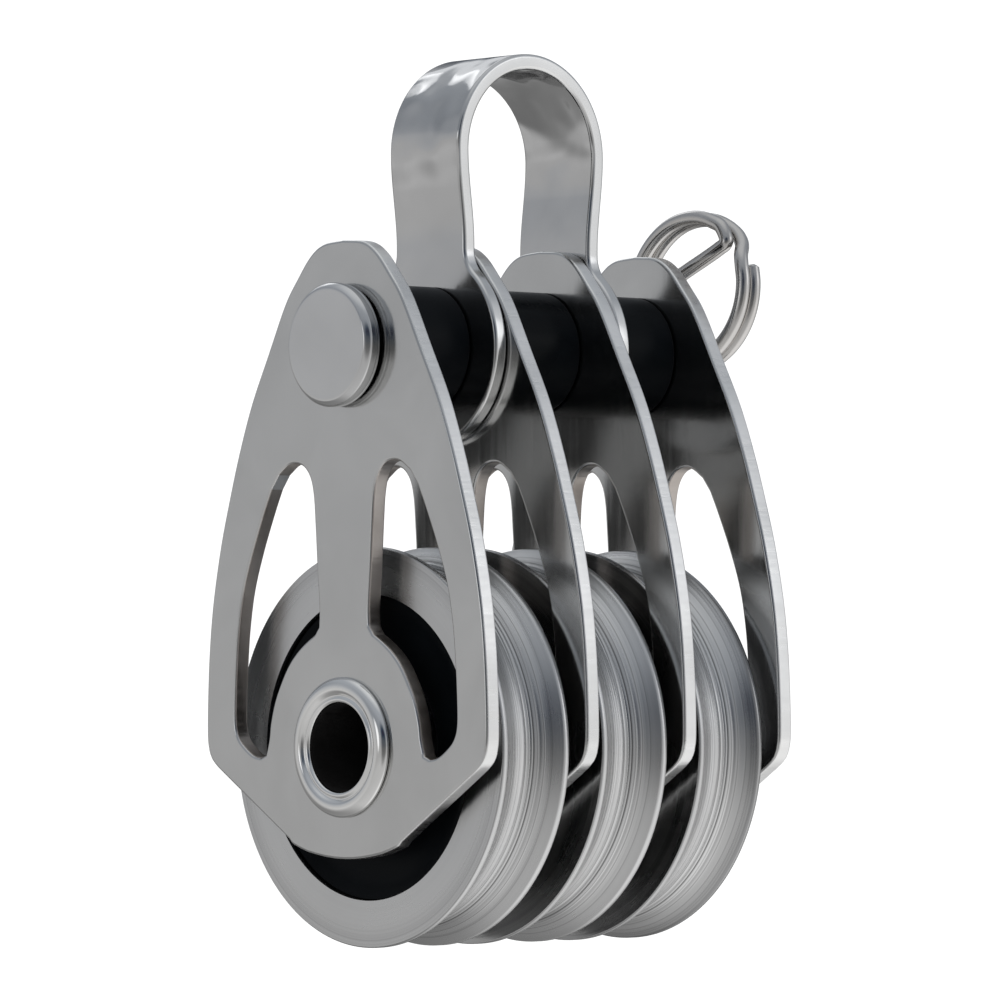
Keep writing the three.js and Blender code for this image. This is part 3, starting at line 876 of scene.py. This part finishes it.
def softbox(total, azimuth, elevation, inner, outer, gain):
    """A soft round light in the surroundings: azimuth from +X towards +Y, angles in degrees."""
    a_, e_ = math.radians(azimuth), math.radians(elevation)
    d = add(wn, "ShaderNodeVectorMath", operation="DOT_PRODUCT")
    d.inputs[1].default_value = (math.cos(e_) * math.cos(a_), math.cos(e_) * math.sin(a_), math.sin(e_))
    wn.links.new(direction, d.inputs[0])
    m = add(wn, "ShaderNodeMapRange", interpolation_type="SMOOTHSTEP")
    m.inputs["From Min"].default_value = math.cos(math.radians(outer))
    m.inputs["From Max"].default_value = math.cos(math.radians(inner))
    m.inputs["To Min"].default_value = 0.0
    m.inputs["To Max"].default_value = gain
    wn.links.new(d.outputs["Value"], m.inputs["Value"])
    s_ = add(wn, "ShaderNodeVectorMath", operation="ADD")
    wn.links.new(total, s_.inputs[0])
    wn.links.new(m.outputs["Result"], s_.inputs[1])
    return s_.outputs["Vector"]


total = base.outputs["Color"]
for box in SOFTBOXES:
    total = softbox(total, *box)
least = add(wn, "ShaderNodeVectorMath", operation="MAXIMUM")
least.inputs[1].default_value = (0.03, 0.03, 0.03)
wn.links.new(total, least.inputs[0])
total = least.outputs["Vector"]
room = add(wn, "ShaderNodeBackground")
room.inputs["Strength"].default_value = 1.0
wn.links.new(total, room.inputs["Color"])
seen = add(wn, "ShaderNodeBackground")
seen.inputs["Color"].default_value = (1, 1, 1, 1)
seen.inputs["Strength"].default_value = 1.12
path = wn.nodes.new("ShaderNodeLightPath")
mixs = wn.nodes.new("ShaderNodeMixShader")
wn.links.new(path.outputs["Is Glossy Ray"], mixs.inputs["Fac"])
wn.links.new(seen.outputs["Background"], mixs.inputs[1])
wn.links.new(room.outputs["Background"], mixs.inputs[2])
wn.links.new(mixs.outputs["Shader"], out.inputs["Surface"])


def area(name, where, at, size, power, size_y=None, colour=(1, 1, 1)):
    la = bpy.data.lights.new(name, "AREA")
    la.shape = "RECTANGLE"
    la.size = size
    la.size_y = size_y or size
    la.energy = power
    la.color = colour
    o = bpy.data.objects.new(name, la)
    scene.collection.objects.link(o)
    o.location = where
    o.rotation_mode = "QUATERNION"
    o.rotation_quaternion = (Vector(at) - Vector(where)).to_track_quat("-Z", "Y")
    return o


C = (0, 0, -0.02)
area("key_right", (0.30, -0.36, 0.10), C, 0.14, 0.01, 0.2)
area("top_back", (0.08, 0.34, 0.30), C, 0.12, 0.03, 0.12)

cam_data = bpy.data.cameras.new("camera")
cam = bpy.data.objects.new("camera", cam_data)
scene.collection.objects.link(cam)
scene.camera = cam
right = Vector((0.7363950875434547, -0.676546815598667, -0.002584829814658808))
up = Vector((-0.011862088692136565, -0.016731244152250857, 0.9997896560381976))
fwd = Vector((0.6764477554798504, 0.7362095298027735, 0.02034606433322164))
rot = Matrix((right, up, -fwd)).transposed()
cam.matrix_world = Matrix.Translation(Vector((-221.5765, -240.6078, -30.8495)) * MM) @ rot.to_4x4()
cam_data.lens = 231.79
cam_data.sensor_width = 36
cam_data.shift_x = 0.0089
cam_data.shift_y = 0.0486
cam_data.clip_start = 0.01
cam_data.clip_end = 20
scene.view_settings.view_transform = "Standard"

lo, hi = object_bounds()
